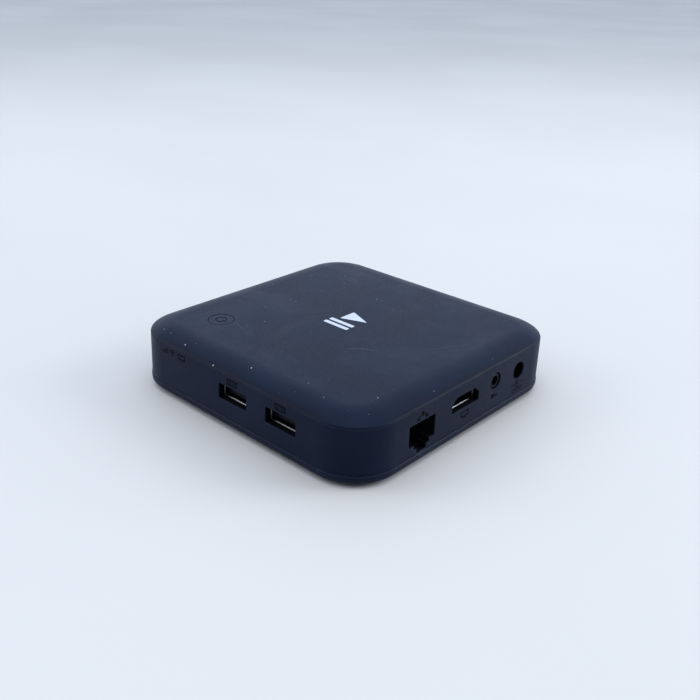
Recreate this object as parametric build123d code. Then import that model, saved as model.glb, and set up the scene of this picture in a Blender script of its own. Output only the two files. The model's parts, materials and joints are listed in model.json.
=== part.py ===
"""Streaming media player: a low square set-top box that hangs its circuit board under the upper shell.

Row frame: millimetres, +Z up, origin on the table under the middle of the box, front towards -Y.
The rear wall (+Y) holds the network, video, audio and power sockets, and the right wall (+X) two data ports.
"""

import os
from math import cos, radians, sin

from build123d import *

os.makedirs("parts", exist_ok=True)

# ---- housing ----
WIDTH = 107.0  # outside width and depth, over the base
HALF = WIDTH / 2
HEIGHT = 23.0  # table to crown
CORNER_R = 16.5
CREASE_Z = 19.7  # fine groove where the crown meets the side wall
SEAM_Z = 4.4  # parting line between the two shells
LEDGE = 0.2  # how far the base stands proud of the upper shell at the seam
SEAM_GAP = 0.08
DRAFT = 0.27  # how far the side wall leans in from seam to crease
WALL = 2.2
TOP_SKIN = 2.0
CORE = 37.5  # half width of the plain column inside the swept rim sections
CROWN_END_ANGLE = 33.0  # slope of the crown where its rounded lip starts
LIP_R = 1.2
LIP_END_ANGLE = 80.0
GROOVE = 0.14  # depth and height of the crease groove
BASE_Z = 1.1  # underside of the base; the feet stand proud of it
BASE_EDGE_R = 2.0
FLOOR = 1.8
PORT_EDGE_R = 0.2  # rounding of the socket cut-outs

SHELL_HALF = HALF - LEDGE
CAVITY_HALF = SHELL_HALF - WALL
CAVITY_TOP = HEIGHT - TOP_SKIN
FACE = 50.8  # plane of the socket fronts, just inside the side walls
WINDOW_Z = 11.5  # height of the remote-control window in the front wall

# ---- screws, bosses and feet ----
BOSS_AT = 40.0  # the four housing screws, and the feet that hide them
BOSS_R = 3.2
BOSS_LOW = 9.0
HOUSING_SCREW_R = 1.25
HOUSING_SCREW_LENGTH = 8.0
HOUSING_HEAD_R = 2.3
HOUSING_HEAD_H = 1.7
SCREW_SEAT_Z = 6.0
FOOT_R = 5.4
FOOT_TOP = 1.9
BOARD_SCREW_AT = [(-44.0, 20.0), (-44.0, -24.0), (13.0, -44.0), (44.5, -17.0), (12.9, 45.0)]
BOARD_SCREW_R = 0.95
BOARD_SCREW_LENGTH = 4.4
BOARD_HEAD_R = 1.8
BOARD_HEAD_H = 1.3
BOARD_BOSS_R = 2.5

# ---- circuit board ----
BOARD_HALF = 49.6
BOARD_CORNER_R = 13.5
BOARD_LOW = 16.8
BOARD_TOP = 18.0

# ---- sockets: (centre across the wall, centre height) ----
DATA_PORTS = [(0.05, 13.25), (21.75, 13.25)]  # along Y on the right wall
DATA_CUT_Z = 13.1  # the cut-outs in the wall sit a little lower than the ports
VIDEO_PORT = (2.2, 13.7)  # along X on the rear wall
NETWORK_JACK_X = 24.3
AUDIO_JACK = (-14.4, 14.55)
POWER_JACK = (-28.6, 13.5)
AUDIO_BORE_R = 1.8
AUDIO_FERRULE_R = 2.5
POWER_BORE_R = 2.95
POWER_PIN_R = 1.0
SHEET = 0.3  # metal thickness of the port shells
MOUTH_BEVEL = 0.2  # bevel round the inside of each metal mouth

# ---- power button ----
BUTTON_AT = (30.6, -31.5)
BUTTON_R = 4.5
BUTTON_GAP = 0.2
MARK_R = 2.15  # outer radius of the engraved on/off mark
MARK_LINE = 0.5
SWITCH_TOP = 19.0  # top of the switch's base
PLUNGER_TOP = 19.65

parts = {}


# ---------------------------------------------------------------- helpers
def block(x0, x1, y0, y1, z0, z1):
    """A box between two corners."""
    return Pos((x0 + x1) / 2, (y0 + y1) / 2, (z0 + z1) / 2) * Box(x1 - x0, y1 - y0, z1 - z0)


def rod(x, y, z0, z1, radius):
    """An upright cylinder."""
    return Pos(x, y, (z0 + z1) / 2) * Cylinder(radius, z1 - z0)


def rod_y(x, z, y0, y1, radius):
    """A cylinder lying along Y."""
    return Pos(x, (y0 + y1) / 2, z) * Rot(X=90) * Cylinder(radius, y1 - y0)


def column(half, radius, z0, z1):
    """A square column with rounded corners, centred on Z."""
    return Pos(0, 0, z0) * extrude(RectangleRounded(2 * half, 2 * half, radius), z1 - z0)


def prism_y(outline, y0, y1):
    """A closed outline of (x, z) points carried along Y."""
    face = make_face(Polyline(*[(x, 0, z) for x, z in outline], close=True))
    return Pos(0, y0, 0) * extrude(face, y1 - y0, dir=(0, 1, 0))


def swept_round(section, z0, z1):
    """Carries a section, drawn in the XZ plane from x = CORE outwards, round the rounded square,
    and fills the middle between z0 and z1."""
    straight = HALF - CORNER_R
    solid = column(CORE, CORE - straight, z0, z1)
    side = Pos(0, -straight, 0) * extrude(section, 2 * straight, dir=(0, 1, 0))
    corner_axis = Axis((straight, straight, 0), (0, 0, 1))
    corner = revolve(Pos(0, straight, 0) * section, axis=corner_axis, revolution_arc=90)
    for quarter in range(4):
        solid += Rot(Z=90 * quarter) * side
        solid += Rot(Z=90 * quarter) * corner
    return solid


def section_of(*edges):
    """A filled face in the XZ plane from edges that close on themselves."""
    return make_face(Wire(list(edges)))


def line_xz(*points):
    """Straight edges through (x, z) points in the XZ plane."""
    return [Line((a[0], 0, a[1]), (b[0], 0, b[1])) for a, b in zip(points, points[1:])]


def arc_xz(centre, radius, angle_from, angle_to):
    """An arc in the XZ plane; angles are measured from straight up, towards +X."""
    def at(angle):
        return (centre[0] + radius * sin(radians(angle)), 0, centre[1] + radius * cos(radians(angle)))
    return ThreePointArc(at(angle_from), at((angle_from + angle_to) / 2), at(angle_to))


def ribbon_yz(points, thickness, x0, x1):
    """A strip of metal that follows (y, z) points, from x0 to x1."""
    line = Polyline(*[(y, z) for y, z in points])
    strip = extrude(trace(line, thickness), x1 - x0)
    return Pos(x0, 0, 0) * Plane(origin=(0, 0, 0), x_dir=(0, 1, 0), z_dir=(1, 0, 0)).location * strip


def cross_recess(x, y, z_top, depth, reach, width):
    """The cross that a screwdriver fits, cut down from z_top."""
    return block(x - reach, x + reach, y - width / 2, y + width / 2, z_top - depth, z_top) + block(
        x - width / 2, x + width / 2, y - reach, y + reach, z_top - depth, z_top
    )


def bevel_mouth(shell):
    """Bevels the inner edges of a tube's front end, towards +Y."""
    front = shell.faces().sort_by(Axis.Y)[-1]
    return chamfer(front.inner_wires()[0].edges(), MOUTH_BEVEL)


def upward_screw(x, y, seat_z, shaft_r, length, head_r, head_h):
    """A screw driven up from below: its head hangs under seat_z and its shaft stands above."""
    head = Pos(x, y, seat_z - head_h / 2) * Cylinder(head_r, head_h)
    head = chamfer(head.faces().sort_by(Axis.Z)[0].edges(), 0.35)
    tip = Pos(x, y, seat_z + length - 0.35) * Cone(shaft_r, shaft_r * 0.55, 0.7)
    shaft = rod(x, y, seat_z, seat_z + length - 0.7, shaft_r)
    low = seat_z - head_h
    return head + shaft + tip - cross_recess(x, y, low + 0.8, 0.8, head_r * 0.55, 0.5)


# ---------------------------------------------------------------- upper shell
def crown_section():
    """Half section of the upper shell's outside: wall, groove, rounded lip and long soft crown."""
    lip_rise = LIP_R * (cos(radians(CROWN_END_ANGLE)) - cos(radians(LIP_END_ANGLE)))
    lip_reach = LIP_R * (sin(radians(LIP_END_ANGLE)) - sin(radians(CROWN_END_ANGLE)))
    crown_rise = HEIGHT - CREASE_Z - lip_rise
    crown_r = crown_rise / (1 - cos(radians(CROWN_END_ANGLE)))
    lip_x = SHELL_HALF - DRAFT
    flat_x = lip_x - lip_reach - crown_r * sin(radians(CROWN_END_ANGLE))
    crown = arc_xz((flat_x, HEIGHT - crown_r), crown_r, 0, CROWN_END_ANGLE)
    lip_centre = (
        lip_x - LIP_R * sin(radians(LIP_END_ANGLE)),
        CREASE_Z - LIP_R * cos(radians(LIP_END_ANGLE)),
    )
    lip = arc_xz(lip_centre, LIP_R, CROWN_END_ANGLE, LIP_END_ANGLE)
    below = line_xz(
        (lip_x, CREASE_Z),
        (lip_x - GROOVE, CREASE_Z - GROOVE / 2),
        (lip_x, CREASE_Z - GROOVE),
        (SHELL_HALF, SEAM_Z + 0.15),
        (SHELL_HALF - 0.15, SEAM_Z),
        (CORE, SEAM_Z),
        (CORE, HEIGHT),
        (flat_x, HEIGHT),
    )
    return section_of(crown, lip, *below)


def cavity_section():
    """Half section of the space inside the upper shell, 1 mm past its rim."""
    return section_of(*line_xz(
        (CORE, SEAM_Z - 1),
        (CAVITY_HALF, SEAM_Z - 1),
        (CAVITY_HALF - DRAFT, 18.2),
        (CAVITY_HALF - 2.4, 20.1),
        (CAVITY_HALF - 8.0, CAVITY_TOP),
        (CORE, CAVITY_TOP),
        (CORE, SEAM_Z - 1),
    ))


def network_outline(grow):
    """The network socket's mouth, (x, z): a square with two steps below for the plug's latch."""
    left, right = NETWORK_JACK_X - 5.95 - grow, NETWORK_JACK_X + 5.95 + grow
    step, tab = 3.55 + grow * 0.6, 2.15 + grow * 0.6
    return [
        (left, 14.9 + grow), (right, 14.9 + grow), (right, 8.1 - grow),
        (NETWORK_JACK_X + step, 8.1 - grow), (NETWORK_JACK_X + step, 6.7 - grow),
        (NETWORK_JACK_X + tab, 6.7 - grow), (NETWORK_JACK_X + tab, 5.1 - grow),
        (NETWORK_JACK_X - tab, 5.1 - grow), (NETWORK_JACK_X - tab, 6.7 - grow),
        (NETWORK_JACK_X - step, 6.7 - grow), (NETWORK_JACK_X - step, 8.1 - grow),
        (left, 8.1 - grow),
    ]


def video_outline(grow):
    """The video socket's mouth, (x, z), with its two upper corners cut off."""
    x, z = VIDEO_PORT
    wide, narrow, tall = 7.0 + grow, 4.85 + grow * 0.6, 2.275 + grow
    return [
        (x - wide, z - tall), (x + wide, z - tall), (x + wide, z + 0.35 + grow * 0.4),
        (x + narrow, z + tall), (x - narrow, z + tall), (x - wide, z + 0.35 + grow * 0.4),
    ]


def window_bar(length, height, y0, y1):
    """A flat bar with round ends, standing in the front wall between y0 and y1."""
    outline = Pos(0, y0, WINDOW_Z) * Rot(X=90) * SlotOverall(length, height)
    return extrude(outline, y1 - y0, dir=(0, 1, 0))


def port_cutters():
    """Everything that passes through the side walls of the upper shell."""
    cutters = [
        prism_y(network_outline(0.28), FACE - 1.5, HALF + 1),
        prism_y(video_outline(0.2), FACE - 1.5, HALF + 1),
        rod_y(AUDIO_JACK[0], AUDIO_JACK[1], FACE - 1.5, HALF + 1, AUDIO_FERRULE_R + 0.4),
        rod_y(POWER_JACK[0], POWER_JACK[1], FACE - 1.5, HALF + 1, POWER_BORE_R + 0.15),
        window_bar(21.0, 3.4, -HALF - 1, 1.5 - FACE),
    ]
    for y, _ in DATA_PORTS:
        cutters.append(block(FACE - 1.5, HALF + 1, y - 6.45, y + 6.45, DATA_CUT_Z - 2.66, DATA_CUT_Z + 2.66))
    return cutters


def upper_shell():
    """The bucket that carries everything: top, side walls, bosses and the button's seat."""
    outside = swept_round(crown_section(), SEAM_Z, HEIGHT)
    shell = outside - swept_round(cavity_section(), SEAM_Z - 1, CAVITY_TOP)
    for cutter in port_cutters():
        shell -= cutter
    walls = [f for f in shell.faces() if f.geom_type == GeomType.PLANE and len(f.inner_wires()) > 0]
    side_walls = [f for f in walls if abs(f.normal_at().Z) < 0.2 and f.area > 600]
    outer_walls = [f for f in side_walls if max(abs(f.center().X), abs(f.center().Y)) > CAVITY_HALF + 1]
    rims = [e for f in outer_walls for w in f.inner_wires() for e in w.edges()]
    shell = fillet(rims, PORT_EDGE_R)

    bx, by = BUTTON_AT
    skin_low = CAVITY_TOP + 0.5
    for x in (-BOSS_AT, BOSS_AT):
        for y in (-BOSS_AT, BOSS_AT):
            shell += rod(x, y, BOSS_LOW, skin_low, BOSS_R)
            for turn in (0, 90):
                shell += Pos(x, y, 19.85) * Rot(Z=turn) * Box(11.0, 1.0, 3.1)
            shell -= rod(x, y, BOSS_LOW - 1, SCREW_SEAT_Z + HOUSING_SCREW_LENGTH + 0.6, HOUSING_SCREW_R)
    for x, y in BOARD_SCREW_AT:
        shell += rod(x, y, BOARD_TOP, skin_low, BOARD_BOSS_R)
        shell -= rod(x, y, BOARD_TOP - 1, BOARD_LOW + BOARD_SCREW_LENGTH + 0.2, BOARD_SCREW_R)
    collar = rod(bx, by, BOARD_TOP + 1.4, skin_low, BUTTON_R + 2.4)
    collar -= rod(bx, by, BOARD_TOP, CAVITY_TOP, BUTTON_R + 1.25)
    shell += collar
    for offset in (-24, -8, 8, 24):  # stiffening ribs under the crown
        shell += block(-34, 12, offset - 0.5, offset + 0.5, CAVITY_TOP - 1.2, skin_low)
    shell -= rod(bx, by, BOARD_TOP, HEIGHT + 1, BUTTON_R + BUTTON_GAP)
    rim = shell.edges().filter_by(GeomType.CIRCLE).filter_by_position(Axis.Z, HEIGHT - 0.01, HEIGHT + 0.01)
    return fillet([e for e in rim if abs(e.radius - BUTTON_R - BUTTON_GAP) < 0.01], 0.12)


def front_window():
    """Smoked lens for the remote-control receiver, just below the face of the wall, flanged inside."""
    lens = window_bar(20.9, 3.3, -SHELL_HALF + 0.3, -CAVITY_HALF + 0.3)
    return lens + window_bar(23.4, 5.8, -CAVITY_HALF + 0.22, -CAVITY_HALF + 1.1)


# ---------------------------------------------------------------- base
def base_section():
    """Half section of the base tray's outside, with its rolled lower edge."""
    edge = arc_xz((HALF - BASE_EDGE_R, BASE_Z + BASE_EDGE_R), BASE_EDGE_R, 90, 180)
    rest = line_xz(
        (HALF - BASE_EDGE_R, BASE_Z), (CORE, BASE_Z), (CORE, SEAM_Z - SEAM_GAP),
        (HALF - LEDGE, SEAM_Z - SEAM_GAP), (HALF, SEAM_Z - SEAM_GAP - LEDGE), (HALF, BASE_Z + BASE_EDGE_R),
    )
    return section_of(edge, *rest)


def base_tray():
    """The base: floor with cooling slots, locating tongue, screw towers and seats for feet and label."""
    tray = swept_round(base_section(), BASE_Z, SEAM_Z - SEAM_GAP)
    inside = HALF - 2.3
    tray -= column(inside, CORNER_R - 2.3, BASE_Z + FLOOR, SEAM_Z + 1)
    tongue_half = CAVITY_HALF - 0.12
    tongue_r = CORNER_R - (HALF - tongue_half)
    tongue = column(tongue_half, tongue_r, BASE_Z + FLOOR - 0.4, SEAM_Z + 1.9)
    tongue -= column(tongue_half - 1.1, tongue_r - 1.1, BASE_Z, SEAM_Z + 3)
    tongue -= block(NETWORK_JACK_X - 8.6, NETWORK_JACK_X + 8.6, 40, HALF, BASE_Z + FLOOR, SEAM_Z + 3)
    tray += tongue
    for x in (-BOSS_AT, BOSS_AT):
        for y in (-BOSS_AT, BOSS_AT):
            tray += rod(x, y, BASE_Z + 0.2, BOSS_LOW - 0.1, BOSS_R + 0.6)
            tray -= rod(x, y, BASE_Z - 1, FOOT_TOP, FOOT_R + 0.1)
            tray -= rod(x, y, BASE_Z - 1, SCREW_SEAT_Z, HOUSING_HEAD_R + 0.2)
            tray -= rod(x, y, BASE_Z - 1, BOSS_LOW + 1, HOUSING_SCREW_R + 0.2)
    for row in (-26, 0, 26):
        for index in range(-5, 6):
            slot = Pos(5.2 * index - 4, row, BASE_Z - 1) * extrude(
                Rot(Z=90) * SlotOverall(16.0, 2.0), FLOOR + 2
            )
            tray -= slot
    tray -= block(-24.2, 24.2, -49.2, -36.8, BASE_Z - 1, BASE_Z + 0.25)
    return tray


def feet():
    """Four soft discs with a slightly dished underside and a bevelled rim."""
    made = {}
    for name, x, y in (
        ("foot_front_left", -1, -1), ("foot_front_right", 1, -1),
        ("foot_rear_left", -1, 1), ("foot_rear_right", 1, 1),
    ):
        disc = rod(0, 0, 0, FOOT_TOP, FOOT_R)
        disc = fillet(disc.faces().sort_by(Axis.Z)[0].edges(), 0.5)
        disc -= rod(0, 0, -1, 0.2, FOOT_R - 2.6)
        made[name] = Pos(x * BOSS_AT, y * BOSS_AT, 0) * disc
    return made


# ---------------------------------------------------------------- power button
def power_button():
    """Push cap with a retaining flange, a short stem and an engraved on/off mark."""
    x, y = BUTTON_AT
    cap = rod(x, y, CAVITY_TOP - 0.06, HEIGHT - 0.04, BUTTON_R)
    cap = fillet(cap.faces().sort_by(Axis.Z)[-1].edges(), 0.22)
    cap += rod(x, y, CAVITY_TOP - 0.8, CAVITY_TOP - 0.05, BUTTON_R + 0.85)
    cap += rod(x, y, PLUNGER_TOP, CAVITY_TOP - 0.5, 1.5)
    ring = Circle(MARK_R) - Circle(MARK_R - MARK_LINE) - Pos(0, MARK_R) * Rectangle(1.7, 2 * MARK_LINE + 1.2)
    bar = Pos(0, MARK_R - 0.35) * SlotOverall(2.3, MARK_LINE, rotation=90)
    mark = Pos(x, y, HEIGHT - 0.28) * extrude(ring + bar, 1.0)
    return cap - mark


def power_switch():
    """The tactile switch on the board's upper side: metal-lidded base and round plunger."""
    x, y = BUTTON_AT
    base = block(x - 3, x + 3, y - 3, y + 3, BOARD_TOP, SWITCH_TOP)
    base = chamfer(base.edges().filter_by(Axis.Z), 0.5)
    base -= rod(x, y, BOARD_TOP + 0.3, SWITCH_TOP + 1, 1.6)
    for sx in (-1, 1):
        for sy in (-2.2, 2.2):
            base += block(x + sx * 3.5 - 0.5, x + sx * 3.5 + 0.5, y + sy - 0.4, y + sy + 0.4,
                          BOARD_TOP, BOARD_TOP + 0.25)
    plunger = rod(x, y, BOARD_TOP + 0.75, PLUNGER_TOP, 1.45)
    plunger = fillet(plunger.faces().sort_by(Axis.Z)[-1].edges(), 0.2)
    return base, plunger


# ---------------------------------------------------------------- sockets
def data_port():
    """A data port at the origin, mouth towards +Y: folded metal shell, tongue and four contacts."""
    deep = 14.0
    mouth_w, mouth_h = 6.15, 2.42
    out_w, out_h = mouth_w + SHEET, mouth_h + SHEET
    shell = block(-out_w, out_w, -deep, 0, -out_h, out_h)
    shell = fillet(shell.edges().filter_by(Axis.Y), 0.45)
    hollow = block(-mouth_w, mouth_w, -deep - 1, 1, -mouth_h, mouth_h)
    shell -= fillet(hollow.edges().filter_by(Axis.Y), 0.2)
    shell = bevel_mouth(shell)
    for x in (-3.1, 3.1):
        for side in (-1, 1):
            z = side * (mouth_h + SHEET / 2)
            for edge in (-1.25, 1.25):
                shell -= Pos(x + edge, -6.2, z) * Box(0.3, 5.0, 1)
            shell -= Pos(x, -3.7, z) * Box(2.8, 0.3, 1)
            bump = Pos(x, -5.2, side * (mouth_h + 0.12)) * Rot(Y=90) * Cylinder(0.42, 1.9)
            shell += bump & block(-out_w, out_w, -deep, 0, -out_h, out_h)
    board = BOARD_LOW - DATA_PORTS[0][1]
    leg_top = board + 2.0
    for x in (-out_w + SHEET / 2, out_w - SHEET / 2):
        for y in (-3.4, -11.2):
            shell += block(x - SHEET / 2, x + SHEET / 2, y - 1.1, y + 1.1, 1.0, board)
            shell += block(x - SHEET / 2, x + SHEET / 2, y - 0.7, y + 0.7, board - 0.1, leg_top)
    tongue_low = -mouth_h + 0.70
    tongue_top = tongue_low + 1.84
    insulator = block(-mouth_w + 0.05, mouth_w - 0.05, -deep, -9.9, -mouth_h + 0.05, mouth_h - 0.05)
    tongue = block(-5.5, 5.5, -10.2, -0.9, tongue_low, tongue_top)
    insulator += chamfer(tongue.faces().sort_by(Axis.Y)[-1].edges().filter_by(Axis.X), 0.35)
    insulator += block(-5.6, 5.6, -deep - 1.2, -deep, -mouth_h + 0.4, board)
    contacts = None
    for x in (-3.5, -1.0, 1.0, 3.5):
        blade = ribbon_yz(
            [(-1.9, tongue_top - 0.02), (-9.5, tongue_top + 0.02), (-deep - 0.7, tongue_top + 0.02),
             (-deep - 0.7, leg_top)], 0.22, x - 0.45, x + 0.45
        )
        contacts = blade if contacts is None else contacts + blade
    return shell, insulator - contacts, contacts


def video_port():
    """The display socket in the rear wall: D-shaped shell, thin tongue and nineteen contacts."""
    x, z = VIDEO_PORT
    deep = 11.5
    back = FACE - deep
    shell = prism_y(video_outline(SHEET), back, FACE) - prism_y(video_outline(0), back - 1, FACE + 1)
    shell = bevel_mouth(shell)
    leg_top = BOARD_TOP + 0.7
    for side in (-1, 1):
        leg_x = x + side * (7.0 + SHEET / 2)
        for y in (FACE - 3.2, back + 2.2):
            shell += block(leg_x - SHEET / 2, leg_x + SHEET / 2, y - 1.0, y + 1.0, z - 1.0, BOARD_LOW)
            shell += block(leg_x - SHEET / 2, leg_x + SHEET / 2, y - 0.6, y + 0.6, BOARD_LOW - 0.1, leg_top)
    plug = prism_y(video_outline(-0.04), back, back + 3.4)
    tongue = block(x - 5.6, x + 5.6, back + 3, FACE - 1.3, z - 0.75, z + 0.35)
    insulator = plug + chamfer(tongue.faces().sort_by(Axis.Y)[-1].edges().filter_by(Axis.X), 0.2)
    insulator += block(x - 5.4, x + 5.4, back - 1.0, back, z - 1.6, BOARD_LOW)
    contacts = None
    for index in range(19):
        upper = index % 2 == 0
        cx = x + (index - 9) * 0.5
        level = z + 0.33 if upper else z - 0.73
        turn_y = back - 0.4 if upper else back - 0.75
        strip = ribbon_yz(
            [(FACE - 2.0, level), (turn_y, level), (turn_y, BOARD_LOW - 0.08),
             (turn_y - 1.2, BOARD_LOW - 0.08)], 0.14, cx - 0.15, cx + 0.15
        )
        contacts = strip if contacts is None else contacts + strip
    return shell, insulator - contacts, contacts


def network_jack():
    """The network socket: black housing, eight sprung wires and the comb that carries them."""
    x = NETWORK_JACK_X
    deep = 21.0
    half_w = 7.7
    housing = block(x - half_w, x + half_w, FACE - deep, FACE, SEAM_Z - 0.7, BOARD_LOW)
    housing = fillet(housing.edges().filter_by(Axis.Y), 0.4)
    housing -= prism_y(network_outline(0), FACE - 13.0, FACE + 1)
    housing -= block(x - 4.65, x + 4.65, FACE - deep - 1, FACE - 1.1, 15.2, BOARD_LOW + 1)
    housing -= block(x - 4.65, x + 4.65, FACE - deep - 1, FACE - 14.0, 9.5, BOARD_LOW + 1)
    for side in (-1, 1):
        peg_x = x + side * 5.715
        housing += rod(peg_x, FACE - 8.9, BOARD_LOW - 1.2, BOARD_TOP + 0.5, 1.0)
    wires = None
    pitch = 1.16
    for index in range(8):
        wx = x + (index - 3.5) * pitch
        tail = FACE - 16.2 if index % 2 else FACE - 18.7
        wire = ribbon_yz(
            [(FACE - 10.6, 11.0), (FACE - 1.7, 15.0), (FACE - 2.3, 15.75), (tail, 15.75),
             (tail, BOARD_TOP + 0.7)], 0.34, wx - 0.17, wx + 0.17
        )
        wires = wire if wires is None else wires + wire
    carrier = block(x - 4.6, x + 4.6, FACE - 20.6, FACE - 2.9, 15.3, BOARD_LOW - 0.1)
    carrier += block(x - 4.6, x + 4.6, FACE - 20.6, FACE - 14.2, 10.0, 15.4)
    housing -= block(x - 4.65, x + 4.65, FACE - 13.2, FACE - 1.1, 14.5, 16.3)
    for index in range(7):  # comb walls between the wires
        wall_x = x + (index - 3) * pitch
        housing += block(wall_x - 0.2, wall_x + 0.2, FACE - 13.4, FACE - 1.0, 14.9, 15.2)
    return housing - wires, carrier - wires, wires


def audio_jack():
    """The round audio-video socket: body and ferrule in one, with three side springs."""
    x, z = AUDIO_JACK
    body = block(x - 3.2, x + 3.2, FACE - 13.0, FACE, z - 2.8, BOARD_LOW)
    body = chamfer(body.edges().filter_by(Axis.Y).sort_by(Axis.Z)[:2], 0.6)
    body += rod_y(x, z, FACE - 0.5, FACE + 1.95, AUDIO_FERRULE_R)
    body = chamfer(body.faces().sort_by(Axis.Y)[-1].edges(), 0.2)
    body -= rod_y(x, z, FACE - 14, FACE + 3, AUDIO_BORE_R)
    springs = None
    for side, y in ((-1, FACE - 3.5), (1, FACE - 6.5), (-1, FACE - 10.0)):
        face_x = x + side * (AUDIO_BORE_R + 0.32)
        spring = block(face_x - 0.12, face_x + 0.12, y - 0.9, y + 0.9, z - 1.4, BOARD_TOP + 0.6)
        spring += Pos(face_x - side * 0.06, y, z) * Rot(Y=90) * Cylinder(0.5, 0.44)
        body -= Pos(face_x - side * 0.4, y, z) * Box(0.8, 1.5, 1.8)
        springs = spring if springs is None else springs + spring
    return body - springs, springs


def power_jack():
    """The round power socket: black body, centre pin and the leaf that meets the plug's sleeve."""
    x, z = POWER_JACK
    deep = 14.0
    body = block(x - 4.5, x + 4.5, FACE - deep, FACE, z - 4.4, BOARD_LOW)
    body = fillet(body.edges().filter_by(Axis.Y).sort_by(Axis.Z)[:2], 1.2)
    body -= rod_y(x, z, FACE - 10.5, FACE + 1, POWER_BORE_R)
    pin = rod_y(x, z, FACE - 10.6, FACE - 1.6, POWER_PIN_R)
    pin = fillet(pin.faces().sort_by(Axis.Y)[-1].edges(), 0.4)
    pin += rod_y(x, z, FACE - deep - 0.4, FACE - 10.5, 1.6)
    pin += block(x - 1.2, x + 1.2, FACE - deep - 0.8, FACE - deep - 0.3, z - 1.2, BOARD_TOP + 0.7)
    leaf = block(x - 1.3, x + 1.3, FACE - 9.6, FACE - 1.0, z - POWER_BORE_R - 0.6, z - POWER_BORE_R - 0.2)
    side_leg = block(x + 4.5, x + 4.9, FACE - 8.0, FACE - 5.6, z - 3.4, BOARD_TOP + 0.7)
    bridge = block(x + 1.2, x + 4.9, FACE - 7.6, FACE - 6.0, z - POWER_BORE_R - 0.6, z - POWER_BORE_R - 0.2)
    leaf += side_leg + bridge
    body -= block(x - 1.3, x + 1.3, FACE - 9.0, FACE - 1.6, z - POWER_BORE_R - 0.3, z - 2.0)
    return body - pin - leaf, pin, leaf


# ---------------------------------------------------------------- board and its parts
def chip(x, y, width, depth, height, dimple=0.5):
    """A chip hung under the board, with bevelled edges and a round orientation dimple."""
    body = block(x - width / 2, x + width / 2, y - depth / 2, y + depth / 2, BOARD_LOW - height, BOARD_LOW)
    body = chamfer(body.faces().sort_by(Axis.Z)[0].edges(), 0.12)
    mark_x, mark_y = x - width / 2 + 1.4, y + depth / 2 - 1.4
    return body - rod(mark_x, mark_y, BOARD_LOW - height - 1, BOARD_LOW - height + 0.1, dimple)


def main_board(through):
    """The circuit board, with clearance for the bosses and a slot for every leg that passes through."""
    board = column(BOARD_HALF, BOARD_CORNER_R, BOARD_LOW, BOARD_TOP)
    for x in (-BOSS_AT, BOSS_AT):
        for y in (-BOSS_AT, BOSS_AT):
            board -= rod(x, y, BOARD_LOW - 1, BOARD_TOP + 1, BOSS_R + 0.6)
    for x, y in BOARD_SCREW_AT:
        board -= rod(x, y, BOARD_LOW - 1, BOARD_TOP + 1, BOARD_SCREW_R + 0.15)
    for solid in through:
        board -= solid
    return board


SINK_X, SINK_Y, SINK_HALF = -6.0, -5.0, 19.0
SINK_TOP = 14.4
SINK_BASE = 1.8
SINK_LOW = 5.6
PIN_AT = [(SINK_X - 15.5, SINK_Y + 15.5), (SINK_X + 15.5, SINK_Y - 15.5)]


def heat_sink():
    """Finned aluminium block that hangs over the cooling slots, with two push-pin holes."""
    sink = block(SINK_X - SINK_HALF, SINK_X + SINK_HALF, SINK_Y - SINK_HALF, SINK_Y + SINK_HALF,
                 SINK_TOP - SINK_BASE, SINK_TOP)
    for index in range(-6, 7):
        fin_x = SINK_X + index * 3.0
        sink += block(fin_x - 0.5, fin_x + 0.5, SINK_Y - SINK_HALF, SINK_Y + SINK_HALF,
                      SINK_LOW, SINK_TOP - SINK_BASE)
    for x, y in PIN_AT:
        sink -= rod(x, y, SINK_LOW - 1, SINK_TOP - SINK_BASE, 3.6)
        sink -= rod(x, y, SINK_LOW, SINK_TOP + 1, 1.6)
    return sink


def sink_fixings():
    """Two plastic push pins, and the coil spring under each head."""
    pins, springs = None, None
    head_top = SINK_TOP - SINK_BASE - 3.4
    for x, y in PIN_AT:
        pin = rod(x, y, head_top - 1.2, head_top, 2.6) + rod(x, y, head_top, BOARD_TOP + 0.1, 1.2)
        pin += Pos(x, y, BOARD_TOP + 0.75) * Cone(1.7, 0.8, 1.3)
        pins = pin if pins is None else pins + pin
        coil = Helix(pitch=0.95, height=2.6, radius=1.95, center=(x, y, head_top + 0.4))
        wire = sweep(Plane(origin=coil @ 0, z_dir=coil % 0) * Circle(0.22), path=coil)
        springs = wire if springs is None else springs + wire
    return pins, springs


def network_transformer():
    """Isolation transformer behind the network socket: moulded block with two rows of bent legs."""
    x, y = 24.3, 20.5
    body = block(x - 6.4, x + 6.4, y - 4.6, y + 4.6, BOARD_LOW - 5.2, BOARD_LOW - 0.3)
    body = chamfer(body.faces().sort_by(Axis.Z)[0].edges(), 0.35)
    for index in range(8):
        leg_x = x + (index - 3.5) * 1.5
        for side in (-1, 1):
            leg_y = y + side * 4.6
            body += block(leg_x - 0.25, leg_x + 0.25, min(leg_y, leg_y + side * 1.3),
                          max(leg_y, leg_y + side * 1.3), BOARD_LOW - 0.25, BOARD_LOW)
            body += block(leg_x - 0.25, leg_x + 0.25, min(leg_y - side * 0.3, leg_y + side * 0.3),
                          max(leg_y - side * 0.3, leg_y + side * 0.3), BOARD_LOW - 1.6, BOARD_LOW - 0.1)
    return body


def electrolytic_capacitors():
    """Three aluminium cans on square plastic bases."""
    cans, bases = [], []
    for x, y, radius, tall in ((-40.0, 7.0, 3.15, 5.8), (-33.0, 22.0, 3.15, 5.8), (-21.0, 33.0, 2.5, 5.4)):
        bases.append(block(x - radius - 0.2, x + radius + 0.2, y - radius - 0.2, y + radius + 0.2,
                           BOARD_LOW - 0.8, BOARD_LOW))
        can = rod(x, y, BOARD_LOW - tall, BOARD_LOW - 0.8, radius)
        cans.append(fillet(can.faces().sort_by(Axis.Z)[0].edges(), 0.4))
    return Compound(cans), Compound(bases)


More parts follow.
